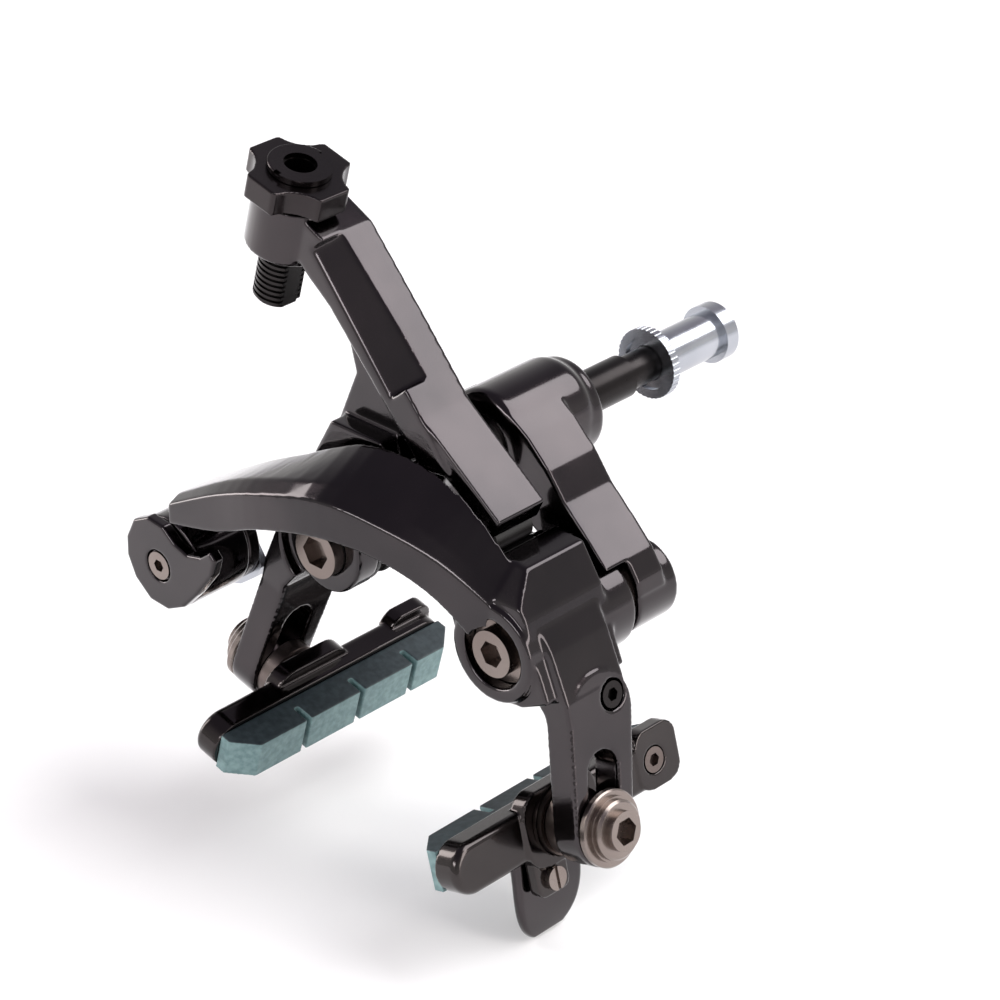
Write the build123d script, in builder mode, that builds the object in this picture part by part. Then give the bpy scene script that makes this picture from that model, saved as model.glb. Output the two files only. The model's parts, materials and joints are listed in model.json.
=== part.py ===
"""Dual-pivot road bicycle rim brake caliper, stored open, as separate pieces.

Millimetres. X points to the right of someone facing the caliper's front, Y points to the rear,
along the mounting bolt, and Z points up. The origin is on the mounting bolt's axis, where the
bracket's rear boss meets the fork crown or the brake bridge.
"""

import os
from math import cos, pi, radians, sin, tan

from build123d import *

os.makedirs("parts", exist_ok=True)

# Layout: both arms turn on pivots carried by the bracket, parallel to Y.
PIVOT_X = 21.5
PIVOT_Z = -21.3
OPEN_ANGLE = 15.0
RUNNING = 0.05
GAP = 0.12

# Bracket
BRACKET_REAR = -5.5
BRACKET_FRONT = -15.0
BRACKET_HUB_R = 6.9
BRACKET_HUB_X = 22.5
DOME_R = 8.5
DOME_LIFT = 0.8
DOME_FRONT = -20.4
BOLT_SEAT = -15.5
CABLE_LEG_FRONT = -20.0
BRACKET_FILLET = 1.6
DOME_SHOULDER = 1.6
CABLE_LEG_REAR = -8.6
ADJUSTER_LEG_REAR = -6.2

# Mounting hardware
SHANK_R = 3.7
BOLT_R = 3.0
BOLT_HEAD_R = 5.0
BOLT_HEAD_DEPTH = 4.5
SHANK_END = 13.0
SERRATED_Y = 19.4
SERRATED_R = 6.2
NUT_BODY_R = 4.0
NUT_FLANGE_R = 5.1
NUT_START = 22.3
NUT_END = 38.0

# Pivots
PIVOT_BOLT_R = 3.5
BUSHING_R = 4.55
ARM_HUB_R = 8.0
CABLE_HUB_R = 8.4
CABLE_HUB_REAR = -16.1
CABLE_HUB_FRONT = -41.0
HEAD_RECESS_R = 6.0
HEAD_RECESS_FLOOR = -37.5
ADJUSTER_HUB_REAR = -30.6
ADJUSTER_HUB_FRONT = -35.4
PIVOT_NUT_R = 5.0
PIVOT_NUT_FRONT = -7.0
SPRING_R = 6.8
SPRING_WIRE_R = 0.9
SPRING_COILS = 4
SPRING_REAR = -17.6
SPRING_FRONT = -28.6
SLEEVE_R = 5.4

# Legs and shoes, measured in a frame that leans outwards by the open angle.
# Its origin is where the shoe bolt's axis meets the braking face.
FACE_X = 20.1
FACE_Z = -53.9
SHOE_BOLT_Y = -34.0
LEG_INNER = 15.0
LEG_OUTER = 20.5
LEG_RAKE = 12.0
LEG_TOP = 18.0
LEG_FOOT_R = 6.5
LEG_HEAD_R = 7.1
SLOT_R = 3.3
SLOT_TRAVEL = 9.0
SHOE_BOLT_R = 2.95
PAD_FRONT = -23.0
PAD_REAR = 28.0
PAD_THICK = 5.6
PAD_HALF = 3.6
HOLDER_HALF = 4.4
HOLDER_BACK = 10.4
WASHER_FLOOR = 8.6
INNER_WASHER_R = 5.9
OUTER_WASHER_R = 6.35
GROOVES = (-8.0, 4.5, 17.0)
PAD_SCREW_AT = (22.5, 0.4)
FIN_SCREW_AT = (-4.0, -8.8)
CENTERING_AT = (7.0, 20.0)

# Adjuster, measured along an axis that leans by the open angle, downwards from the knob's top
KNOB_TOP = (-28.8, -31.5, 44.0)
KNOB_SPAN = 17.0
KNOB_FACE = -1.1
KNOB_BASE = -5.3
CUP_LIP = -13.5
CUP_BASE = -15.6
CUP_R = 5.85
ADJUSTER_BOSS_R = 6.8
BARREL_END = -26.0
BARREL_R = 3.9
THREAD_DEPTH = 0.45
THREAD_PITCH = 1.0
HOUSING_R = 2.6
HOUSING_DEPTH = -14.0

# Quick release and cable clamp, on the cable arm's end boss
BOSS_X = -46.6
BOSS_Z = -28.5
BOSS_R = 8.2
BOSS_FRONT = -47.8
BOSS_REAR = -36.6
SPINDLE_R = 5.0
LEVER_FRONT = -50.0
CLAMP_REAR = -34.0
CLAMP_AT = (2.6, 0.8)
CLAMP_BOLT_R = 2.45


def facing_rear(x, z):
    """A plane on an axis parallel to Y, whose offset is a Y position."""
    return Plane(origin=(x, 0, z), x_dir=(-1, 0, 0), z_dir=(0, 1, 0))


LEAN = radians(OPEN_ANGLE)
OUTWARDS = (cos(LEAN), 0, sin(LEAN))
BOLT_AXIS = facing_rear(0, 0)
CABLE_PIVOT = facing_rear(PIVOT_X, PIVOT_Z)
ADJUSTER_PIVOT = facing_rear(-PIVOT_X, PIVOT_Z)
BOSS_AXIS = facing_rear(BOSS_X, BOSS_Z)
SHOE = Plane(origin=(FACE_X, SHOE_BOLT_Y, FACE_Z), x_dir=(0, 1, 0), z_dir=OUTWARDS)
BARREL = Plane(origin=KNOB_TOP, x_dir=(0, 1, 0), z_dir=(sin(LEAN), 0, cos(LEAN)))
SHOE_AXIS = Axis(SHOE.origin, OUTWARDS)
BARREL_AXIS = Axis(KNOB_TOP, BARREL.z_dir)


def disc(plane, start, end, radius, at=(0, 0), mode=Mode.ADD):
    """A round slice between two offsets of a plane."""
    with BuildSketch(plane.offset(start)) as section:
        with Locations(at):
            Circle(radius)
    extrude(section.sketch, amount=end - start, mode=mode)


def hexagon(plane, start, end, across_flats, at=(0, 0), mode=Mode.SUBTRACT):
    """A hexagonal slice, usually a socket."""
    with BuildSketch(plane.offset(start)) as section:
        with Locations(at):
            RegularPolygon(across_flats / 2 / cos(pi / 6), 6)
    extrude(section.sketch, amount=end - start, mode=mode)


def slab(points, y_front, y_rear, mode=Mode.ADD):
    """A plate with the given front outline, between two Y positions."""
    with BuildSketch(Plane.XZ.offset(-y_rear)) as section:
        with BuildLine():
            Polyline(*points, close=True)
        make_face()
    extrude(section.sketch, amount=y_rear - y_front, mode=mode)


def finish(piece, name):
    """Names a finished solid and writes it."""
    piece.label = name
    export_step(piece, f"parts/{name}.step")


# Bracket: a domed body on the mounting bolt, with a slender leg down to each pivot.
LEG_INSIDE = [
    (29.3, -19.0), (22.5, -24.0), (15.8, -20.5), (15.4, -16.6), (13.6, -13.4), (10.6, -11.2),
    (6.0, -10.0), (0.0, -9.6), (0.0, 2.0),
]
CABLE_LEG = [(5.0, 7.4), (9.4, 4.6), (14.0, 0.2), (17.7, -4.6), (22.8, -9.3), (26.6, -13.1), (28.8, -16.4)]
ADJUSTER_LEG = [(6.0, 1.6), (14.0, 1.2), (20.0, -3.2), (24.6, -8.2), (28.3, -13.0)]
bracket_legs = []
for leg_outside, leg_rear in ((CABLE_LEG, CABLE_LEG_REAR), (ADJUSTER_LEG, ADJUSTER_LEG_REAR)):
    with BuildPart() as bracket_leg:
        slab(leg_outside + LEG_INSIDE, BRACKET_FRONT, leg_rear)
        disc(facing_rear(BRACKET_HUB_X, PIVOT_Z), BRACKET_FRONT, BRACKET_REAR, BRACKET_HUB_R)
        if leg_outside is CABLE_LEG:
            slab(leg_outside + LEG_INSIDE, CABLE_LEG_FRONT, BRACKET_FRONT)
            disc(CABLE_PIVOT, CABLE_LEG_FRONT, BRACKET_FRONT, CABLE_HUB_R + 1, mode=Mode.SUBTRACT)
    bracket_legs.append(bracket_leg.part)
with BuildPart() as rear_boss:
    disc(BOLT_AXIS, DOME_FRONT + BRACKET_FILLET, 0, DOME_R - 0.1)
    fillet(rear_boss.edges().group_by(Axis.Y)[-1], 1.0)
with BuildPart() as mounting_bracket:
    with BuildSketch(Plane.XZ.offset(DOME_SHOULDER)):
        Circle(DOME_R)
        with Locations((0, DOME_LIFT)):
            Circle(DOME_R)
        make_hull()
    extrude(amount=-DOME_FRONT - DOME_SHOULDER)
    fillet(mounting_bracket.edges().group_by(Axis.Y)[0], BRACKET_FILLET)
    fillet(mounting_bracket.edges().group_by(Axis.Y)[-1], 2.6)
    add(rear_boss.part)
    add(bracket_legs[0])
    mirror(bracket_legs[1], about=Plane.YZ)
    disc(BOLT_AXIS, BOLT_SEAT, 0, SHANK_R + RUNNING, mode=Mode.SUBTRACT)
    disc(BOLT_AXIS, DOME_FRONT, BOLT_SEAT, BOLT_HEAD_R + 0.3, mode=Mode.SUBTRACT)
    for pivot in (CABLE_PIVOT, ADJUSTER_PIVOT):
        disc(pivot, BRACKET_FRONT, BRACKET_REAR, PIVOT_BOLT_R + 0.01, mode=Mode.SUBTRACT)
        disc(pivot, PIVOT_NUT_FRONT, BRACKET_REAR, PIVOT_NUT_R + RUNNING, mode=Mode.SUBTRACT)
finish(mounting_bracket.part, "mounting_bracket")

# Mounting bolt: a socket head sunk in the front of the bracket, a thick shank and a thinner threaded end.
with BuildPart() as mounting_bolt:
    disc(BOLT_AXIS, BOLT_SEAT - BOLT_HEAD_DEPTH, BOLT_SEAT - RUNNING, BOLT_HEAD_R)
    chamfer(mounting_bolt.edges().group_by(Axis.Y)[0], 0.5)
    disc(BOLT_AXIS, BOLT_SEAT - RUNNING, SHANK_END, SHANK_R)
    disc(BOLT_AXIS, SHANK_END, NUT_END - 4.1, BOLT_R)
    chamfer(mounting_bolt.edges().group_by(Axis.Y)[-1], 0.6)
    hexagon(BOLT_AXIS, BOLT_SEAT - BOLT_HEAD_DEPTH, BOLT_SEAT - 1.5, 5)
finish(mounting_bolt.part, "mounting_bolt")

# Serrated washer: teeth round its rim, a dished front and a raised collar behind.
with BuildPart() as serrated_washer:
    disc(BOLT_AXIS, SERRATED_Y, SERRATED_Y + 1.6, SERRATED_R)
    disc(BOLT_AXIS, SERRATED_Y + 1.6, SERRATED_Y + 2.1, 5.0)
    with BuildSketch(BOLT_AXIS.offset(SERRATED_Y)):
        with PolarLocations(SERRATED_R + 0.15, 40):
            Circle(0.28)
    extrude(amount=1.6, mode=Mode.SUBTRACT)
    disc(BOLT_AXIS, SERRATED_Y, SERRATED_Y + 0.5, 4.6, mode=Mode.SUBTRACT)
    disc(BOLT_AXIS, SERRATED_Y, NUT_START, BOLT_R + 0.15, mode=Mode.SUBTRACT)
finish(serrated_washer.part, "serrated_washer")

# Spacer ring between the washer's collar and the nut's sleeve.
with BuildPart() as nut_spacer:
    disc(BOLT_AXIS, SERRATED_Y + 2.11, NUT_START - 0.01, 4.6)
    disc(BOLT_AXIS, SERRATED_Y, NUT_START, BOLT_R + 0.15, mode=Mode.SUBTRACT)
finish(nut_spacer.part, "nut_spacer")

# Recessed nut: a plain sleeve with a flange at its rear and a hexagonal socket in it.
with BuildPart() as recessed_nut:
    disc(BOLT_AXIS, NUT_START, NUT_END, NUT_BODY_R)
    disc(BOLT_AXIS, NUT_END - 3.4, NUT_END, NUT_FLANGE_R)
    chamfer(recessed_nut.edges().group_by(Axis.Y)[-1], 0.6)
    chamfer(recessed_nut.edges().group_by(Axis.Y)[0], 0.4)
    disc(BOLT_AXIS, NUT_START, NUT_END - 3.9, BOLT_R + 0.01, mode=Mode.SUBTRACT)
    hexagon(BOLT_AXIS, NUT_END - 4, NUT_END, 5)
finish(recessed_nut.part, "recessed_nut")


def pivot_bolt(pivot, front, head_back, head_r, drive):
    """A headed pivot pin whose thinner riveted end shows behind the bracket."""
    disc(pivot, front, head_back, head_r)
    disc(pivot, head_back, PIVOT_NUT_FRONT, PIVOT_BOLT_R)
    disc(pivot, PIVOT_NUT_FRONT, BRACKET_REAR + 0.6, 2.2)
    hexagon(pivot, front, head_back - 0.3, drive)


# Pivot bolts
with BuildPart() as cable_pivot_bolt:
    pivot_bolt(CABLE_PIVOT, CABLE_HUB_FRONT, -38.4, 4.0, 4)
    chamfer(cable_pivot_bolt.edges().group_by(Axis.Y)[-1], 0.3)
finish(cable_pivot_bolt.part, "cable_pivot_bolt")

with BuildPart() as adjuster_pivot_bolt:
    pivot_bolt(ADJUSTER_PIVOT, -37.6, ADJUSTER_HUB_FRONT - GAP, 4.6, 5)
    chamfer(adjuster_pivot_bolt.edges().group_by(Axis.Y)[-1], 0.3)
finish(adjuster_pivot_bolt.part, "adjuster_pivot_bolt")

# Notched ring nuts, sunk in the bracket's rear face round the ends of the pivot bolts.
with BuildPart() as pivot_nuts:
    for pivot in (CABLE_PIVOT, ADJUSTER_PIVOT):
        disc(pivot, PIVOT_NUT_FRONT + 0.01, BRACKET_REAR + 0.5, PIVOT_NUT_R)
        disc(pivot, PIVOT_NUT_FRONT, BRACKET_REAR + 0.5, 2.21, mode=Mode.SUBTRACT)
        with BuildSketch(pivot.offset(BRACKET_REAR - 0.4)) as notches:
            with PolarLocations(PIVOT_NUT_R, 2, start_angle=35):
                Rectangle(1.6, 1.4)
        extrude(notches.sketch, amount=1, mode=Mode.SUBTRACT)
finish(pivot_nuts.part, "pivot_nuts")

# Washers on the cable arm's pivot, one behind its hub and one under the bolt's head.
with BuildPart() as pivot_washers:
    for start, end, radius in (
        (CABLE_HUB_REAR + GAP, BRACKET_FRONT - 0.01, 7.0),
        (-38.39, HEAD_RECESS_FLOOR - GAP, HEAD_RECESS_R - 0.2),
    ):
        disc(CABLE_PIVOT, start, end, radius)
        disc(CABLE_PIVOT, start, end, PIVOT_BOLT_R + 0.01, mode=Mode.SUBTRACT)
finish(pivot_washers.part, "pivot_washers")

# Bushings, fixed in the arms' hubs and running on the pivot bolts.
for pivot, front, rear, name in (
    (CABLE_PIVOT, HEAD_RECESS_FLOOR, CABLE_HUB_REAR, "cable_arm_bushing"),
    (ADJUSTER_PIVOT, ADJUSTER_HUB_FRONT, ADJUSTER_HUB_REAR, "adjuster_arm_bushing"),
):
    with BuildPart() as bushing:
        disc(pivot, front + 0.1, rear - 0.1, BUSHING_R - 0.01)
        disc(pivot, front, rear, PIVOT_BOLT_R + RUNNING, mode=Mode.SUBTRACT)
    finish(bushing.part, name)

# Spring sleeve: a plastic tube on the adjuster arm's pivot bolt, flanged against the bracket.
with BuildPart() as spring_sleeve:
    disc(ADJUSTER_PIVOT, SPRING_FRONT - 1.1, BRACKET_FRONT - 0.01, SLEEVE_R)
    disc(ADJUSTER_PIVOT, BRACKET_FRONT - 1.4, BRACKET_FRONT - 0.01, SPRING_R + 1.0)
    disc(ADJUSTER_PIVOT, -40, 0, PIVOT_BOLT_R + 0.01, mode=Mode.SUBTRACT)
finish(spring_sleeve.part, "spring_sleeve")

# Spring cover: a plastic cap between the coil and the adjuster arm's hub, with a lug on its edge.
with BuildPart() as spring_cover:
    disc(ADJUSTER_PIVOT, ADJUSTER_HUB_REAR + GAP, SPRING_FRONT - 1.11, SPRING_R + 1.0)
    disc(ADJUSTER_PIVOT, -40, 0, PIVOT_BOLT_R + 0.01, mode=Mode.SUBTRACT)
finish(spring_cover.part, "spring_cover")

# Return spring: a coil round the sleeve, with a straight end above the bracket's leg.
SPRING_LENGTH = SPRING_REAR - SPRING_FRONT
with BuildPart() as return_spring:
    with BuildLine() as coil:
        Helix(
            SPRING_LENGTH / SPRING_COILS, SPRING_LENGTH, SPRING_R,
            center=(-PIVOT_X, SPRING_REAR, PIVOT_Z), direction=(0, -1, 0),
        )
    coil_start = Plane(origin=coil.line @ 0, z_dir=coil.line % 0)
    with BuildSketch(coil_start):
        Circle(SPRING_WIRE_R)
    sweep(path=coil.line, is_frenet=True)
    with BuildSketch(coil_start) as straight_end:
        Circle(SPRING_WIRE_R)
    extrude(straight_end.sketch, amount=-6)
finish(return_spring.part, "return_spring")

# Leg shared by both arms: a slotted foot, raked forwards, under a shoulder that runs up to the hub.
LEG_SHOULDER = [
    (17.0, -15.0), (26.5, -13.0), (30.8, -19.5), (34.3, -27.3), (36.0, -34.6),
    (30.9, -36.0), (29.4, -31.0), (26.4, -27.6), (17.5, -26.4),
]
RAKE = tan(radians(LEG_RAKE))
with BuildPart() as leg:
    with BuildSketch(SHOE.offset(LEG_INNER)):
        Circle(LEG_FOOT_R)
        with Locations((LEG_TOP * RAKE, LEG_TOP)):
            Circle(LEG_HEAD_R)
        make_hull()
    extrude(amount=LEG_OUTER - LEG_INNER)
    slab(LEG_SHOULDER, -37.4, -24.0)
    with BuildSketch(SHOE.offset(LEG_INNER - 2)):
        Circle(SLOT_R)
        with Locations((SLOT_TRAVEL * RAKE, SLOT_TRAVEL)):
            Circle(SLOT_R)
        make_hull()
    extrude(amount=LEG_OUTER - LEG_INNER + 4, mode=Mode.SUBTRACT)

# Adjuster arm: a channelled bar from the barrel's forked boss to a tongue, on a web and a leg.
BAR = [
    (-28.5, 30.5), (-24.0, 26.5), (-19.6, 23.0), (-12.0, 14.8), (-4.4, 6.5), (0.5, 1.0),
    (7.0, 2.0), (1.0, 9.9), (-8.6, 21.0), (-20.4, 34.2), (-27.0, 37.5),
]
WEB = [
    (-22.6, 29.0), (-20.0, 20.5), (-17.4, 11.0), (-21.0, 2.6), (-23.6, -4.0),
    (-12.0, -5.0), (-4.0, 0.0), (1.0, 3.0), (1.0, 9.7), (-8.6, 21.0), (-20.4, 34.0),
]
LOWER_WEB = [
    (-19.5, 3.0), (-22.6, -2.5), (-26.4, -9.5), (-29.6, -18.0), (-21.5, -21.3),
    (-13.7, -20.0), (-12.0, -10.0), (-6.5, -3.0), (-8.0, 3.0),
]
TONGUE = [(-3.0, 7.0), (1.0, 9.9), (17.2, -2.2), (15.6, -5.6), (3.0, 3.2), (-1.0, 4.0)]
TONGUE_FRONT = -34.6
# The bevel along the bar's front, given as how far it lies across the bar and its Y position.
BEVEL = [(0.8, -29.8), (-3.7, -35.01), (0.8, -36.0)]
BEVEL_LENGTH = 26.5
BAR_TOP = Plane(origin=(-20.4, 0, 34.2), x_dir=(24, 0, 20), z_dir=(-20, 0, 24))
BACK_POCKET = [(-1.4, 9.2), (-15.5, 26.9), (-19.2, 23.0), (-15.6, 11.6), (-4.8, 8.2)]
with BuildPart() as adjuster_arm:
    slab(BAR, -35.0, -24.0)
    slab(WEB, -31.5, -24.0)
    slab(LOWER_WEB, ADJUSTER_HUB_FRONT, -27.0)
    with BuildSketch(BAR_TOP) as bevel:
        with BuildLine():
            Polyline(*[(across, y) for across, y in BEVEL], close=True)
        make_face()
    extrude(bevel.sketch, amount=-BEVEL_LENGTH, mode=Mode.SUBTRACT)
    slab(TONGUE, TONGUE_FRONT, -24.0)
    mirror(leg.part, about=Plane.YZ)
    disc(ADJUSTER_PIVOT, ADJUSTER_HUB_FRONT, ADJUSTER_HUB_REAR, ARM_HUB_R)
    disc(BARREL, CUP_BASE, KNOB_BASE - 0.3, ADJUSTER_BOSS_R)
    disc(ADJUSTER_PIVOT, ADJUSTER_HUB_REAR, BRACKET_FRONT, ARM_HUB_R + 0.5, mode=Mode.SUBTRACT)
    disc(ADJUSTER_PIVOT, -60, ADJUSTER_HUB_FRONT, ARM_HUB_R + 0.5, mode=Mode.SUBTRACT)
    slab(BACK_POCKET, -29.5, -24.0, mode=Mode.SUBTRACT)
    disc(BARREL, CUP_LIP, KNOB_BASE, CUP_R + RUNNING, mode=Mode.SUBTRACT)
    with BuildSketch(BARREL.offset(CUP_BASE)) as fork_gap:
        Circle(BARREL_R + 0.5)
        with Locations(Rotation(0, 0, 45)):
            with Locations((ADJUSTER_BOSS_R, 0)):
                Rectangle(2 * ADJUSTER_BOSS_R, 2 * BARREL_R + 1)
    extrude(fork_gap.sketch, amount=KNOB_BASE - CUP_BASE, mode=Mode.SUBTRACT)
    disc(ADJUSTER_PIVOT, -50, 0, BUSHING_R, mode=Mode.SUBTRACT)
finish(adjuster_arm.part, "adjuster_arm")

# Cable arm: a slender crowned bar across the front, an end boss, and a deep hub over the other leg.
# Each section is given as (y, z) points, round from the lower front corner.
BAR_SECTIONS = {
    -43.5: [(-50.0, -19.3), (-50.0, -15.6), (-47.6, -14.4), (-38.4, -14.6), (-38.4, -25.0), (-47.6, -19.5)],
    -32.0: [(-50.0, -16.4), (-50.0, -9.6), (-47.2, -7.9), (-38.4, -7.8), (-38.4, -16.6), (-46.0, -17.6)],
    -22.0: [(-50.0, -12.2), (-50.0, -5.8), (-47.2, -3.8), (-38.2, -2.6), (-38.2, -11.6), (-45.0, -13.4)],
    -9.0: [(-48.8, -9.2), (-48.8, -2.6), (-46.0, -0.4), (-37.8, 3.7), (-37.0, -9.0), (-43.0, -10.8)],
    2.0: [(-46.4, -10.0), (-46.4, -4.0), (-43.6, -1.6), (-36.4, 3.6), (-36.2, -10.0), (-41.0, -11.4)],
    12.0: [(-43.4, -14.6), (-43.4, -7.6), (-41.4, -5.4), (-35.9, 0.0), (-35.9, -15.0), (-40.0, -16.0)],
    21.0: [(-41.0, -23.0), (-41.0, -12.8), (-39.0, -11.0), (-35.3, -7.8), (-35.3, -23.0), (-38.0, -24.0)],
}
SECTIONS_BETWEEN = 3
HUB_BLOCK = [
    (10.0, -8.8), (16.2, -9.2), (17.8, -7.2), (23.6, -7.6), (27.6, -13.6), (29.6, -19.5), (32.6, -26.6),
    (27.0, -29.4), (20.5, -29.9), (14.0, -24.5), (11.5, -18.0),
]
# The slope along the block's front, as (y, z) points, which carries on the bar's top.
BLOCK_SLOPE = [(-40.5, -12.6), (-39.0, -11.0), (-34.4, -6.9), (-34.4, -5.0), (-40.5, -5.0)]
LINK_PAD_AT = (12.4, -7.6)
LINK_PAD_R = 2.6


def through(before, start, end, after, part):
    """A value on the smooth curve through four evenly spaced ones, part of the way from start to end."""
    slope_in = (end - before) / 2
    slope_out = (after - start) / 2
    rise = end - start
    return start + part * (
        slope_in + part * (3 * rise - 2 * slope_in - slope_out + part * (slope_in + slope_out - 2 * rise))
    )


def smooth_sections(sections, between):
    """The given sections and some in between, so that the bar bends evenly along its length."""
    rows = [(x, *(value for point in points for value in point)) for x, points in sections.items()]
    rows = [rows[0], *rows, rows[-1]]
    smooth = []
    for first in range(len(rows) - 3):
        for step in range(between + 1):
            part = step / (between + 1)
            smooth.append([through(*values, part) for values in zip(*rows[first:first + 4])])
    smooth.append(rows[-1])
    return smooth


with BuildPart() as hub_block:
    slab(HUB_BLOCK, -40.0, -22.0)
    with BuildSketch(Plane.YZ) as slope:
        with BuildLine():
            Polyline(*BLOCK_SLOPE, close=True)
        make_face()
    extrude(slope.sketch, amount=40, mode=Mode.SUBTRACT)
with BuildPart() as cable_arm:
    for x, *values in smooth_sections(BAR_SECTIONS, SECTIONS_BETWEEN):
        with BuildSketch(Plane.YZ.offset(x)):
            with BuildLine():
                Polyline(*zip(values[::2], values[1::2]), close=True)
            make_face()
    loft(ruled=True)
    add(hub_block.part)
    add(leg.part)
    disc(CABLE_PIVOT, CABLE_HUB_FRONT, CABLE_HUB_REAR, CABLE_HUB_R)
    disc(BOSS_AXIS, BOSS_FRONT, BOSS_REAR, BOSS_R)
    disc(CABLE_PIVOT, CABLE_HUB_FRONT, HEAD_RECESS_FLOOR, HEAD_RECESS_R, mode=Mode.SUBTRACT)
    disc(CABLE_PIVOT, -50, 0, BUSHING_R, mode=Mode.SUBTRACT)
    disc(BOSS_AXIS, BOSS_FRONT, BOSS_REAR, SPINDLE_R + RUNNING, mode=Mode.SUBTRACT)
    disc(facing_rear(*LINK_PAD_AT), -33.4, -22.0, LINK_PAD_R + 0.05, mode=Mode.SUBTRACT)
    disc(SHOE, LEG_OUTER - 1.5, LEG_OUTER + 1, 2.6, at=CENTERING_AT, mode=Mode.SUBTRACT)
    disc(SHOE, LEG_INNER - 2, LEG_OUTER, 1.51, at=CENTERING_AT, mode=Mode.SUBTRACT)
finish(cable_arm.part, "cable_arm")

# Link pad: the round nylon insert of the cable arm that meets the adjuster arm's tongue.
with BuildPart() as link_pad:
    disc(facing_rear(*LINK_PAD_AT), -33.0, -24.2, LINK_PAD_R)
    chamfer(link_pad.edges().filter_by(GeomType.CIRCLE), 0.3)
finish(link_pad.part, "link_pad")

# Centering screw, sunk in the outer face of the cable arm's leg.
with BuildPart() as centering_screw:
    disc(SHOE, LEG_OUTER - 1.45, LEG_OUTER - 0.1, 2.2, at=CENTERING_AT)
    disc(SHOE, LEG_INNER - 1, LEG_OUTER - 1.45, 1.5, at=CENTERING_AT)
    hexagon(SHOE, LEG_OUTER - 1.2, LEG_OUTER, 2, at=CENTERING_AT)
finish(centering_screw.part, "centering_screw")

# Adjuster cup: a flanged bushing that drops into the fork and carries the knob.
with BuildPart() as adjuster_cup:
    disc(BARREL, KNOB_BASE - 1.3, KNOB_BASE - GAP, CUP_R)
    with BuildSketch(BARREL.offset(KNOB_BASE - 1.3)) as cup_body:
        RegularPolygon(CUP_R - 0.3, 16)
    extrude(cup_body.sketch, amount=CUP_LIP + RUNNING - (KNOB_BASE - 1.3), taper=2)
    disc(BARREL, CUP_LIP, 0, BARREL_R + 0.1, mode=Mode.SUBTRACT)
finish(adjuster_cup.part, "adjuster_cup")

# Adjuster knob: a four-lobed nut with flat lobe ends, turned on the barrel's thread.
with BuildPart() as adjuster_knob:
    with BuildSketch(BARREL.offset(KNOB_BASE)) as lobes:
        Rectangle(KNOB_SPAN, KNOB_SPAN)
        with GridLocations(17.8, 17.8, 2, 2):
            Circle(5.6, mode=Mode.SUBTRACT)
    extrude(lobes.sketch, amount=KNOB_FACE - KNOB_BASE)
    fillet(adjuster_knob.edges().filter_by(GeomType.LINE).filter_by(BARREL_AXIS), 0.8)
    disc(BARREL, KNOB_BASE, KNOB_FACE, BARREL_R + RUNNING, mode=Mode.SUBTRACT)
finish(adjuster_knob.part, "adjuster_knob")

# Adjuster barrel: a threaded tube with a flat down one side and a socket for the cable housing.
THREAD_TOP = CUP_BASE - 0.4
THREADS = int((THREAD_TOP - BARREL_END) / THREAD_PITCH)
with BuildPart() as adjuster_barrel:
    disc(BARREL, BARREL_END, KNOB_FACE + 0.1, BARREL_R - THREAD_DEPTH)
    disc(BARREL, THREAD_TOP, KNOB_FACE + 0.1, BARREL_R)
    for turn in range(THREADS):
        low = BARREL_END + 0.5 + turn * THREAD_PITCH
        disc(BARREL, low, low + THREAD_PITCH / 2, BARREL_R)
    with BuildSketch(BARREL.offset(BARREL_END)) as flat:
        with Locations((0, -BARREL_R)):
            Rectangle(3 * BARREL_R, 1.6)
    extrude(flat.sketch, amount=CUP_BASE - BARREL_END - 1, mode=Mode.SUBTRACT)
    disc(BARREL, HOUSING_DEPTH, 0, HOUSING_R, mode=Mode.SUBTRACT)
    disc(BARREL, BARREL_END, HOUSING_DEPTH, 0.9, mode=Mode.SUBTRACT)
finish(adjuster_barrel.part, "adjuster_barrel")

# Ring fixed on the barrel's top end, which rests on the knob.
with BuildPart() as barrel_ring:
    disc(BARREL, KNOB_FACE + GAP, 0, 5.3)
    disc(BARREL, KNOB_FACE, 0, HOUSING_R + 0.15, mode=Mode.SUBTRACT)
    with BuildSketch(BARREL.offset(-0.5)) as notches:
        with PolarLocations(5.3, 2):
            Rectangle(1.4, 1.2)
    extrude(notches.sketch, amount=1, mode=Mode.SUBTRACT)
    fillet(barrel_ring.edges().filter_by(GeomType.CIRCLE).sort_by(Axis.Z)[-1], 0.2)
finish(barrel_ring.part, "barrel_ring")

# Quick release lever: a beaked plate in front of the arm, on a spindle through its boss.
LEVER = [
    (-54.5, -25.7), (-52.6, -21.9), (-49.0, -20.1), (-45.2, -20.5), (-42.4, -22.7),
    (-39.4, -23.7), (-36.2, -22.9), (-33.7, -21.0), (-32.4, -22.3), (-33.4, -25.5),
    (-37.4, -30.7), (-40.8, -34.3), (-44.8, -36.3), (-49.2, -36.0), (-52.8, -33.1), (-54.6, -29.3),
]
with BuildPart() as quick_release_lever:
    slab(LEVER, LEVER_FRONT, BOSS_FRONT - GAP)
    fillet(quick_release_lever.edges().group_by(Axis.Y)[0], 0.5)
    disc(BOSS_AXIS, BOSS_FRONT - GAP, BOSS_REAR + GAP, SPINDLE_R)
    disc(BOSS_AXIS, LEVER_FRONT, LEVER_FRONT + 1, 2.9, mode=Mode.SUBTRACT)
    disc(BOSS_AXIS, LEVER_FRONT, LEVER_FRONT + 5, 1.51, mode=Mode.SUBTRACT)
finish(quick_release_lever.part, "quick_release_lever")

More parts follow.
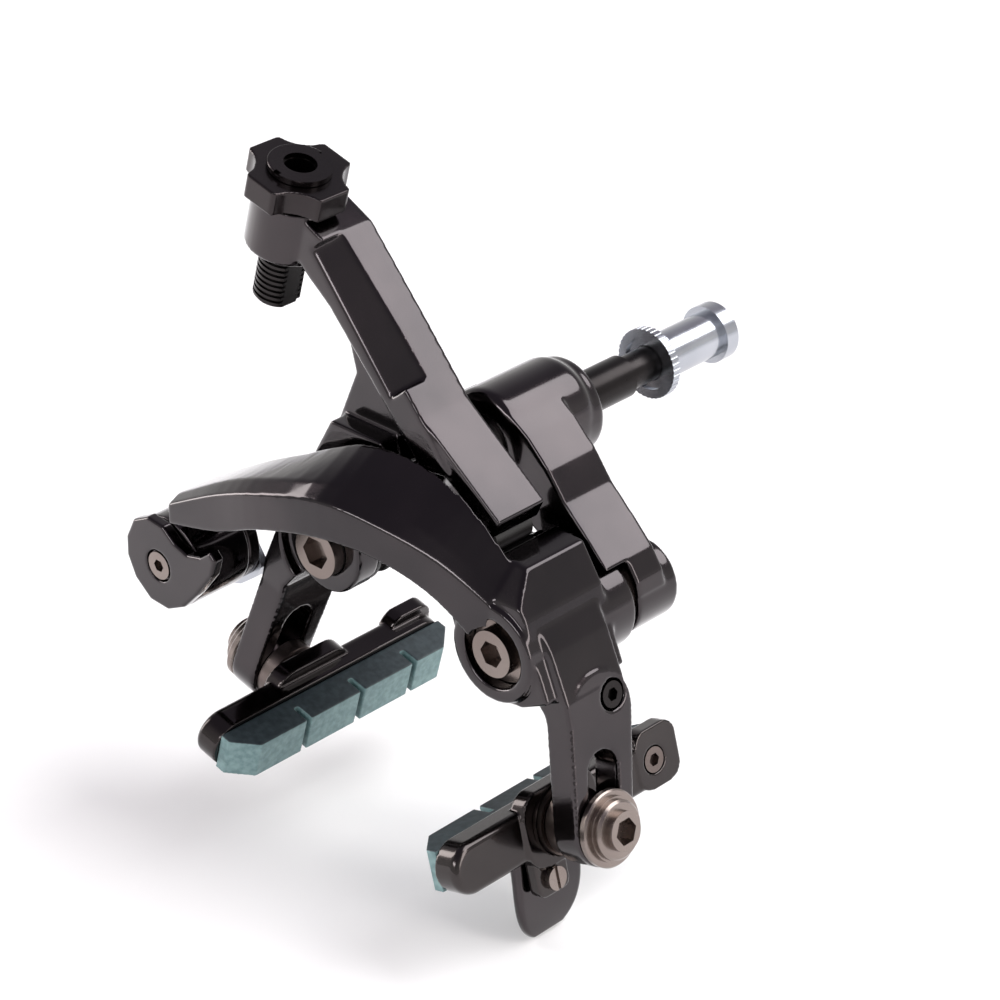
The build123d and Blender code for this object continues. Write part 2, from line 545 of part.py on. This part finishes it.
with BuildPart() as quick_release_screw:
    disc(BOSS_AXIS, LEVER_FRONT + 0.1, LEVER_FRONT + 0.99, 2.5)
    disc(BOSS_AXIS, LEVER_FRONT + 0.99, LEVER_FRONT + 4.9, 1.5)
    hexagon(BOSS_AXIS, LEVER_FRONT, LEVER_FRONT + 1.8, 2)
finish(quick_release_screw.part, "quick_release_screw")

# Clamp base: a grooved disc on the spindle's rear end, which carries the clamp a little off centre.
with BuildPart() as clamp_base:
    disc(BOSS_AXIS, BOSS_REAR + GAP + 0.01, CLAMP_REAR, 7.9)
    chamfer(clamp_base.edges(), 0.3)
    disc(BOSS_AXIS, BOSS_REAR + GAP, CLAMP_REAR, CLAMP_BOLT_R + 0.01, at=CLAMP_AT, mode=Mode.SUBTRACT)
finish(clamp_base.part, "clamp_base")

# Cable clamp plate, with a groove for the cable across its front.
CLAMP_PLATE = [
    (-38.6, -32.1), (-41.4, -28.2), (-45.8, -23.8), (-52.0, -24.8), (-55.0, -32.3),
    (-48.4, -39.2), (-44.0, -37.6), (-40.2, -34.8),
]
with BuildPart() as cable_clamp_plate:
    slab(CLAMP_PLATE, CLAMP_REAR + 0.01, CLAMP_REAR + 1.6)
    fillet(cable_clamp_plate.edges().filter_by(Axis.Y), 0.8)
    disc(BOSS_AXIS, CLAMP_REAR, CLAMP_REAR + 2, CLAMP_BOLT_R + 0.01, at=CLAMP_AT, mode=Mode.SUBTRACT)
finish(cable_clamp_plate.part, "cable_clamp_plate")

with BuildPart() as clamp_washer:
    disc(BOSS_AXIS, CLAMP_REAR + 1.61, CLAMP_REAR + 2.8, 5.2, at=CLAMP_AT)
    chamfer(clamp_washer.edges().group_by(Axis.Y)[-1], 0.4)
    disc(BOSS_AXIS, CLAMP_REAR, CLAMP_REAR + 4, CLAMP_BOLT_R + 0.01, at=CLAMP_AT, mode=Mode.SUBTRACT)
finish(clamp_washer.part, "clamp_washer")

with BuildPart() as cable_clamp_bolt:
    disc(BOSS_AXIS, CLAMP_REAR + 2.81, CLAMP_REAR + 6, 3.7, at=CLAMP_AT)
    chamfer(cable_clamp_bolt.edges().group_by(Axis.Y)[-1], 0.5)
    disc(BOSS_AXIS, BOSS_REAR + 0.4, CLAMP_REAR + 2.81, CLAMP_BOLT_R, at=CLAMP_AT)
    hexagon(BOSS_AXIS, CLAMP_REAR + 3.6, CLAMP_REAR + 6, 4, at=CLAMP_AT)
finish(cable_clamp_bolt.part, "cable_clamp_bolt")


def finish_pair(piece, name):
    """Writes a shoe piece of the right leg and its mirror image on the left leg."""
    finish(piece, f"right_{name}")
    finish(mirror(piece, about=Plane.YZ), f"left_{name}")


# Pad insert: a grooved block of braking compound, with a low rail that slides into the holder.
PAD_OUTLINE = [
    (PAD_FRONT + 4, 0), (PAD_REAR - 4, 0), (PAD_REAR, 3.6), (PAD_REAR, PAD_THICK),
    (PAD_FRONT, PAD_THICK), (PAD_FRONT, 3.6),
]
SHOE_PLAN = Plane(origin=SHOE.origin, x_dir=(0, 1, 0), z_dir=(sin(LEAN), 0, -cos(LEAN)))
with BuildPart() as pad_insert:
    with BuildSketch(SHOE_PLAN.offset(-PAD_HALF)):
        with BuildLine():
            Polyline(*PAD_OUTLINE, close=True)
        make_face()
        for along in GROOVES:
            with Locations((along, 0)):
                Rectangle(1.2, 7, mode=Mode.SUBTRACT)
    extrude(amount=2 * PAD_HALF)
    with BuildSketch(SHOE.offset(PAD_THICK)) as rail:
        with Locations(((PAD_FRONT + PAD_REAR) / 2, 0)):
            Rectangle(PAD_REAR - PAD_FRONT - 4, 4.8)
    extrude(rail.sketch, amount=1.2)
finish_pair(pad_insert.part, "pad_insert")

# Shoe holder: a long channel for the insert, a boss for the washers, a tab and a lug for screws.
with BuildPart() as shoe_holder:
    with BuildSketch(SHOE.offset(PAD_THICK + 0.01)):
        with Locations(((PAD_FRONT + PAD_REAR) / 2, 0)):
            SlotOverall(PAD_REAR - PAD_FRONT + 2, 2 * HOLDER_HALF)
    extrude(amount=HOLDER_BACK - PAD_THICK)
    fillet(shoe_holder.faces().sort_by(SHOE_AXIS)[-1].edges(), 1.2)
    with BuildSketch(SHOE.offset(HOLDER_BACK - 2.5)) as boss:
        RectangleRounded(17, 13.2, 4)
    extrude(boss.sketch, amount=3.1)
    with BuildSketch(SHOE.offset(HOLDER_BACK - 2.5)) as tab:
        with Locations((23.4, 0.8)):
            RectangleRounded(10, 10.6, 3)
    extrude(tab.sketch, amount=2.9)
    with BuildSketch(SHOE.offset(8.0)) as lug:
        with Locations((FIN_SCREW_AT[0], FIN_SCREW_AT[1] + 1)):
            RectangleRounded(7, 7.4, 1.6)
    extrude(lug.sketch, amount=2.4)
    with BuildSketch(SHOE.offset(PAD_THICK)) as channel:
        with Locations(((PAD_FRONT + PAD_REAR) / 2, 0)):
            Rectangle(PAD_REAR - PAD_FRONT - 3.9, 4.9)
    extrude(channel.sketch, amount=1.25, mode=Mode.SUBTRACT)
    disc(SHOE, WASHER_FLOOR, 12, INNER_WASHER_R + 0.05, mode=Mode.SUBTRACT)
    disc(SHOE, PAD_THICK, 12, SHOE_BOLT_R + 0.01, mode=Mode.SUBTRACT)
    disc(SHOE, 9.2, 12, 2.4, at=PAD_SCREW_AT, mode=Mode.SUBTRACT)
    disc(SHOE, PAD_THICK, 12, 1.21, at=PAD_SCREW_AT, mode=Mode.SUBTRACT)
    disc(SHOE, PAD_THICK, 12, 1.01, at=FIN_SCREW_AT, mode=Mode.SUBTRACT)
finish_pair(shoe_holder.part, "shoe_holder")

with BuildPart() as pad_fixing_screw:
    disc(SHOE, 9.21, 10.7, 2.2, at=PAD_SCREW_AT)
    disc(SHOE, 6.9, 9.21, 1.2, at=PAD_SCREW_AT)
    hexagon(SHOE, 9.6, 11, 2, at=PAD_SCREW_AT)
finish_pair(pad_fixing_screw.part, "pad_fixing_screw")

# Inner washers: a dished washer in the holder's boss and a coned one against the leg.
BOLT_PLAN = Plane(origin=SHOE.origin, x_dir=OUTWARDS, z_dir=(sin(LEAN), 0, -cos(LEAN)))
DISHED = [
    (WASHER_FLOOR + 0.01, 3.0), (WASHER_FLOOR + 0.01, INNER_WASHER_R), (11.9, INNER_WASHER_R),
    (11.9, 5.2), (10.2, 3.0),
]
CONED = [
    (10.25, 3.0), (12.0, 5.1), (12.5, INNER_WASHER_R - 0.3), (LEG_INNER - GAP, INNER_WASHER_R - 0.3),
    (LEG_INNER - GAP, 3.0),
]
with BuildPart() as inner_washers:
    for profile in (DISHED, CONED):
        with BuildSketch(BOLT_PLAN) as half:
            with BuildLine():
                Polyline(*profile, close=True)
            make_face()
        revolve(half.sketch, axis=SHOE_AXIS)
finish_pair(inner_washers.part, "inner_washers")

with BuildPart() as outer_washers:
    disc(SHOE, LEG_OUTER + GAP, LEG_OUTER + 1.5, OUTER_WASHER_R)
    chamfer(outer_washers.edges().filter_by(GeomType.CIRCLE), 0.25)
    disc(SHOE, LEG_OUTER + 1.51, LEG_OUTER + 2.2, OUTER_WASHER_R - 1)
    disc(SHOE, LEG_OUTER, LEG_OUTER + 3, 3.0, mode=Mode.SUBTRACT)
finish_pair(outer_washers.part, "outer_washers")

# Shoe bolt: a flanged head with a raised hexagonal socket.
HEAD_BACK = LEG_OUTER + 2.21
with BuildPart() as shoe_bolt:
    disc(SHOE, HEAD_BACK, HEAD_BACK + 1.0, 4.9)
    chamfer(shoe_bolt.edges().filter_by(GeomType.CIRCLE).sort_by(SHOE_AXIS)[-1], 0.4)
    disc(SHOE, HEAD_BACK + 1.0, HEAD_BACK + 2.2, 3.3)
    disc(SHOE, 6.9, HEAD_BACK, SHOE_BOLT_R)
    hexagon(SHOE, HEAD_BACK - 0.4, HEAD_BACK + 3, 4)
finish_pair(shoe_bolt.part, "shoe_bolt")

# Guide fin: a broad curved blade below the right holder that leads the wheel in between the pads.
# Each section is given at a height, as its centre, depth, width and thickness.
FIN_SECTIONS = {
    -4.5: (-1.6, 6.4, 14.4, 2.6),
    -12.0: (-1.8, 6.1, 14.8, 2.0),
    -17.5: (-2.4, 5.3, 11.6, 1.6),
    -19.6: (-2.8, 4.8, 7.0, 1.3),
}
SHOE_LEVEL = Plane(origin=SHOE.origin, x_dir=(0, 1, 0), z_dir=(-sin(LEAN), 0, cos(LEAN)))
with BuildPart() as guide_fin:
    for height, (along, depth, width, thick) in FIN_SECTIONS.items():
        with BuildSketch(SHOE_LEVEL.offset(height)):
            with Locations((along, -depth)):
                RectangleRounded(width, thick, thick * 0.4)
    loft()
    disc(SHOE, 3, 9, 1.01, at=FIN_SCREW_AT, mode=Mode.SUBTRACT)
finish(guide_fin.part, "guide_fin")

with BuildPart() as fin_screw:
    disc(SHOE, HOLDER_BACK + 0.01, 11.4, 2.0, at=FIN_SCREW_AT)
    disc(SHOE, 5.4, HOLDER_BACK + 0.01, 1.0, at=FIN_SCREW_AT)
    with BuildSketch(SHOE.offset(10.9)) as drive_slot:
        with Locations(FIN_SCREW_AT):
            Rectangle(0.6, 5)
    extrude(drive_slot.sketch, amount=1, mode=Mode.SUBTRACT)
finish(fin_screw.part, "fin_screw")
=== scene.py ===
import json
import math

import bmesh
import bpy
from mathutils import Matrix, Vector


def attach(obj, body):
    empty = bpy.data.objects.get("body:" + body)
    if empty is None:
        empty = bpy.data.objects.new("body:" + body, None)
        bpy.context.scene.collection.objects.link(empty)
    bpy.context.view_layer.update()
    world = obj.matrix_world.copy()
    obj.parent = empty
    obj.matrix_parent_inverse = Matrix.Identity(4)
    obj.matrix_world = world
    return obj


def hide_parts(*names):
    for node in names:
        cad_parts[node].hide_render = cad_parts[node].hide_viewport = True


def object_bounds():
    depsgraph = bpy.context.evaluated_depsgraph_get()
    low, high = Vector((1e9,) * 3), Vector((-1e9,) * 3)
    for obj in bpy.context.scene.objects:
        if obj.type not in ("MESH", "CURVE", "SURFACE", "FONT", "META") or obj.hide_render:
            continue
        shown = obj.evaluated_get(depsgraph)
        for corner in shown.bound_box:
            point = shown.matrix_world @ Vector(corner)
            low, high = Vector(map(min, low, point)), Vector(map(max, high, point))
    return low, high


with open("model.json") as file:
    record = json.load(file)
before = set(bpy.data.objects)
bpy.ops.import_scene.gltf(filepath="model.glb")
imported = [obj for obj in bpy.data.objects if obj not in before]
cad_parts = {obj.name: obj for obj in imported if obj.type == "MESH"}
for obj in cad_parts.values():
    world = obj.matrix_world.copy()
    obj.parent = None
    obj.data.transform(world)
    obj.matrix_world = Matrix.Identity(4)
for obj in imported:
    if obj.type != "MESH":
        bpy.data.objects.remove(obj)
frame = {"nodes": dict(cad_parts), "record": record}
packed_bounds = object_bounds()
record = frame["record"]
bodies = record["behaviour"]["bodies"]
body_of = {node: body for body, nodes in bodies.items() for node in nodes}


# Materials. Object coordinates are the row frame in metres, so one scale fits every piece.
def new_material(name, **sockets):
    mat = bpy.data.materials.new(name)
    mat.use_nodes = True
    shader = mat.node_tree.nodes["Principled BSDF"]
    for key, value in sockets.items():
        shader.inputs[key.replace("_", " ")].default_value = value
    return mat, mat.node_tree, shader


def noise(tree, scale, detail=3.0):
    coords = tree.nodes.new("ShaderNodeTexCoord")
    texture = tree.nodes.new("ShaderNodeTexNoise")
    texture.inputs["Scale"].default_value = scale
    texture.inputs["Detail"].default_value = detail
    tree.links.new(coords.outputs["Object"], texture.inputs["Vector"])
    return texture.outputs["Fac"]


def ramp(tree, factor, low, high, start=0.35, end=0.65):
    node = tree.nodes.new("ShaderNodeValToRGB")
    node.color_ramp.elements[0].position = start
    node.color_ramp.elements[1].position = end
    node.color_ramp.elements[0].color = (*low, 1)
    node.color_ramp.elements[1].color = (*high, 1)
    tree.links.new(factor, node.inputs["Fac"])
    return node.outputs["Color"]


def rough(tree, shader, factor, low, high):
    node = tree.nodes.new("ShaderNodeMapRange")
    node.inputs["To Min"].default_value = low
    node.inputs["To Max"].default_value = high
    tree.links.new(factor, node.inputs["Value"])
    tree.links.new(node.outputs["Result"], shader.inputs["Roughness"])


def bump(tree, shader, factor, strength, distance):
    node = tree.nodes.new("ShaderNodeBump")
    node.inputs["Strength"].default_value = strength
    node.inputs["Distance"].default_value = distance
    tree.links.new(factor, node.inputs["Height"])
    tree.links.new(node.outputs["Normal"], shader.inputs["Normal"])


# Noise scales are repeats per metre, and GRAIN_DEPTH is in metres.
DRIFT_SCALE = 45
GLOSS_SCALE = 260
GRAIN_SCALE = 2600
GRAIN_DEPTH = 0.00004


def coating(name, low, high, smooth, dull, metallic=1.0, grain=0.03, coat=0.0):
    """A coated or bare metal, or plastic, with slow colour drift, fine grain and uneven gloss."""
    mat, tree, shader = new_material(name, Metallic=metallic, Coat_Weight=coat, Coat_Roughness=0.08)
    colour = ramp(tree, noise(tree, DRIFT_SCALE), low, high)
    tree.links.new(colour, shader.inputs["Base Color"])
    rough(tree, shader, noise(tree, GLOSS_SCALE, 4), smooth, dull)
    bump(tree, shader, noise(tree, GRAIN_SCALE, 2), grain, GRAIN_DEPTH)
    return mat


PAD_SPECK_SCALE = 900
PAD_GLOSS_SCALE = 500
PAD_SPECK_DEPTH = 0.0001
# Normal Z heights that blend the pale painted-light colour of the sides into the dark painted-shade
# colour of upward surfaces.
PAD_PAINTED_LIGHT_ENDS = 0.10
PAD_PAINTED_SHADE_STARTS = 0.55


def pad_material():
    """Grey-green braking compound with painted light and shade: darker as painted shade where it
    faces upward, paler as painted light on the sides and the braking surface.
    """
    mat, tree, shader = new_material("brake_compound", Metallic=0.0)
    speck = noise(tree, PAD_SPECK_SCALE, 4)
    # Painted light and shade: a dark painted-shade colour for upward surfaces and a pale
    # painted-light colour for the sides, blended by the height of the surface normal.
    painted_shade_top = ramp(tree, speck, (0.014, 0.023, 0.028), (0.028, 0.042, 0.048))
    painted_light_face = ramp(tree, speck, (0.105, 0.180, 0.186), (0.170, 0.265, 0.266))
    geometry = tree.nodes.new("ShaderNodeNewGeometry")
    split = tree.nodes.new("ShaderNodeSeparateXYZ")
    tree.links.new(geometry.outputs["Normal"], split.inputs["Vector"])
    # Mask that picks the painted shade where the surface normal points upward.
    painted_shade_mask = tree.nodes.new("ShaderNodeMapRange")
    painted_shade_mask.inputs["From Min"].default_value = PAD_PAINTED_LIGHT_ENDS
    painted_shade_mask.inputs["From Max"].default_value = PAD_PAINTED_SHADE_STARTS
    tree.links.new(split.outputs["Z"], painted_shade_mask.inputs["Value"])
    mix = tree.nodes.new("ShaderNodeMix")
    mix.data_type = "RGBA"
    tree.links.new(painted_shade_mask.outputs["Result"], mix.inputs["Factor"])
    tree.links.new(painted_light_face, mix.inputs["A"])
    tree.links.new(painted_shade_top, mix.inputs["B"])
    tree.links.new(mix.outputs["Result"], shader.inputs["Base Color"])
    rough(tree, shader, noise(tree, PAD_GLOSS_SCALE, 4), 0.45, 0.62)
    bump(tree, shader, speck, 0.35, PAD_SPECK_DEPTH)
    return mat


MATERIALS = {
    "arm": coating(
        "black_anodised",
        (0.019, 0.015, 0.017),
        (0.033, 0.026, 0.028),
        0.12,
        0.21,
        grain=0.05,
        coat=0.6,
    ),
    "knob": coating(
        "black_knob", (0.018, 0.014, 0.015), (0.030, 0.024, 0.025), 0.20, 0.30, coat=0.3
    ),
    "holder": coating(
        "black_holder", (0.021, 0.016, 0.016), (0.034, 0.028, 0.027), 0.14, 0.24, coat=0.5
    ),
    "dark_steel": coating("dark_steel", (0.018, 0.016, 0.016), (0.032, 0.029, 0.029), 0.22, 0.36),
    "steel": coating("warm_steel", (0.20, 0.165, 0.150), (0.27, 0.230, 0.210), 0.20, 0.32),
    "grey_steel": coating("grey_steel", (0.11, 0.088, 0.080), (0.165, 0.135, 0.125), 0.24, 0.36),
    "bright": coating("bright_plating", (0.36, 0.38, 0.42), (0.50, 0.52, 0.56), 0.14, 0.26),
    "plastic": coating(
        "black_plastic", (0.010, 0.009, 0.009), (0.018, 0.016, 0.016), 0.38, 0.52, 0.0, 0.12
    ),
    "pad": pad_material(),
}


def paint(obj, look):
    obj.data.materials.clear()
    obj.data.materials.append(MATERIALS[look])


# Cast, forged and moulded pieces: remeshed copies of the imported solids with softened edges.
WELD_DISTANCE = 1e-6
SMOOTH_FACTOR = 0.5


def softened(node, voxel, smoothing):
    """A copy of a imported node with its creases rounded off, which stands for that node."""
    packed = frame["nodes"][node]
    piece = bpy.data.objects.new(f"{node}_shell", packed.data.copy())
    bpy.context.scene.collection.objects.link(piece)
    welded = bmesh.new()
    welded.from_mesh(piece.data)
    bmesh.ops.remove_doubles(welded, verts=welded.verts, dist=WELD_DISTANCE)
    welded.to_mesh(piece.data)
    welded.free()
    remesh = piece.modifiers.new("Remesh", "REMESH")
    remesh.mode = "VOXEL"
    remesh.voxel_size = voxel
    smooth = piece.modifiers.new("Smooth", "SMOOTH")
    smooth.factor = SMOOTH_FACTOR
    smooth.iterations = smoothing
    graph = bpy.context.evaluated_depsgraph_get()
    mesh = bpy.data.meshes.new_from_object(piece.evaluated_get(graph))
    piece.modifiers.clear()
    piece.data = mesh
    mesh.shade_smooth()
    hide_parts(node)
    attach(piece, body_of[node])
    return piece


# A node's look is the one of its slot, unless it is listed here.
LOOKS = {
    "adjuster_knob": "knob",
    "barrel_ring": "knob",
    "adjuster_cup": "knob",
    "adjuster_barrel": "dark_steel",
    "mounting_bolt": "dark_steel",
    "clamp_base": "knob",
    "left_shoe_holder": "holder",
    "right_shoe_holder": "holder",
    "left_pad_fixing_screw": "grey_steel",
    "right_pad_fixing_screw": "grey_steel",
    "pivot_nuts": "knob",
    "left_inner_washers": "grey_steel",
    "right_inner_washers": "grey_steel",
}
# Voxel size in metres and smoothing steps of each softened node.
SOFTENED = {
    "mounting_bracket": (0.00024, 26),
    "adjuster_arm": (0.00024, 22),
    "cable_arm": (0.00024, 22),
    "left_shoe_holder": (0.00018, 12),
    "right_shoe_holder": (0.00018, 12),
    "left_pad_insert": (0.00015, 8),
    "right_pad_insert": (0.00015, 8),
    "guide_fin": (0.00018, 6),
    "adjuster_knob": (0.00015, 8),
    "quick_release_lever": (0.00016, 10),
}
slots = {part["node"]: part["material_slot"] for part in record["subparts"]}
for node, source in frame["nodes"].items():
    look = LOOKS.get(node, slots[node])
    if node in SOFTENED:
        voxel, smoothing = SOFTENED[node]
        piece = softened(node, voxel, smoothing)
        paint(piece, look)
    else:
        paint(source, look)


# Floor, world, lights and camera, in metres
FLOOR_SIZE = 6
FLOOR_GAP = 0.0005
FLOOR_DRIFT_SCALE = 3
FLOOR_GLOSS_SCALE = 40


def stage_material():
    mat, tree, shader = new_material("studio_floor", Metallic=0.0)
    colour = ramp(tree, noise(tree, FLOOR_DRIFT_SCALE), (0.86, 0.86, 0.86), (0.9, 0.9, 0.9))
    tree.links.new(colour, shader.inputs["Base Color"])
    rough(tree, shader, noise(tree, FLOOR_GLOSS_SCALE), 0.65, 0.75)
    return mat


lowest, highest = packed_bounds
centre = (lowest + highest) / 2
bpy.ops.mesh.primitive_plane_add(size=FLOOR_SIZE, location=(0, 0, lowest.z - FLOOR_GAP))
floor = bpy.context.object
floor.name = "floor"
floor.data.materials.append(stage_material())


def area_light(name, direction, distance, size, power, colour=(1, 1, 1)):
    """A rectangular lamp that faces the part's centre from the given direction."""
    light = bpy.data.lights.new(name, "AREA")
    light.shape = "RECTANGLE"
    light.size, light.size_y = size
    light.energy = power
    light.color = colour
    holder = bpy.data.objects.new(name, light)
    bpy.context.scene.collection.objects.link(holder)
    away = Vector(direction).normalized()
    holder.location = centre + away * distance
    holder.rotation_euler = away.to_track_quat("Z", "Y").to_euler()


WARM_WHITE = (1.0, 0.96, 0.93)
area_light("left_strip", (-1.0, -0.45, 0.30), 0.7, (0.20, 0.60), 3.0, WARM_WHITE)
area_light("right_strip", (1.0, 0.25, 0.40), 0.7, (0.22, 0.60), 2.5, WARM_WHITE)
area_light("front", (0.1, -1.0, 0.55), 0.9, (0.60, 0.16), 3.0)

SUN_FROM = Vector((0.35, 0.50, 0.80))
SUN_ENERGY = 2.5
SUN_ANGLE = 45
sun = bpy.data.lights.new("sun", "SUN")
sun.energy = SUN_ENERGY
sun.angle = math.radians(SUN_ANGLE)
sun_holder = bpy.data.objects.new("sun", sun)
bpy.context.scene.collection.objects.link(sun_holder)
sun_holder.rotation_euler = SUN_FROM.to_track_quat("Z", "Y").to_euler()

HORIZON = (0.95, 0.93, 0.92)
OVERHEAD = (0.30, 0.27, 0.33)
WORLD_STRENGTH = 0.85


def studio_world():
    """White near the horizon and a dim violet grey overhead, as under a dark studio ceiling."""
    world = bpy.data.worlds.new("studio")
    world.use_nodes = True
    tree = world.node_tree
    coords = tree.nodes.new("ShaderNodeTexCoord")
    split = tree.nodes.new("ShaderNodeSeparateXYZ")
    tree.links.new(coords.outputs["Generated"], split.inputs["Vector"])
    colour = ramp(tree, split.outputs["Z"], HORIZON, OVERHEAD, start=0.15, end=0.80)
    tree.links.new(colour, tree.nodes["Background"].inputs["Color"])
    tree.nodes["Background"].inputs["Strength"].default_value = WORLD_STRENGTH
    return world


bpy.context.scene.world = studio_world()
bpy.context.scene.view_settings.view_transform = "Standard"

VIEW_FROM = Vector((0.3488, -0.3847, 0.2670))
VIEW_AT = Vector((-0.0040, -0.012, -0.0150))
SENSOR_WIDTH = 36
LENS = 128
CLIP_START = 0.01
camera_data = bpy.data.cameras.new("camera")
camera = bpy.data.objects.new("camera", camera_data)
bpy.context.scene.collection.objects.link(camera)
camera.location = VIEW_FROM
camera.rotation_euler = (VIEW_FROM - VIEW_AT).to_track_quat("Z", "Y").to_euler()
camera_data.sensor_width = SENSOR_WIDTH
camera_data.lens = LENS
camera_data.clip_start = CLIP_START
bpy.context.scene.camera = camera
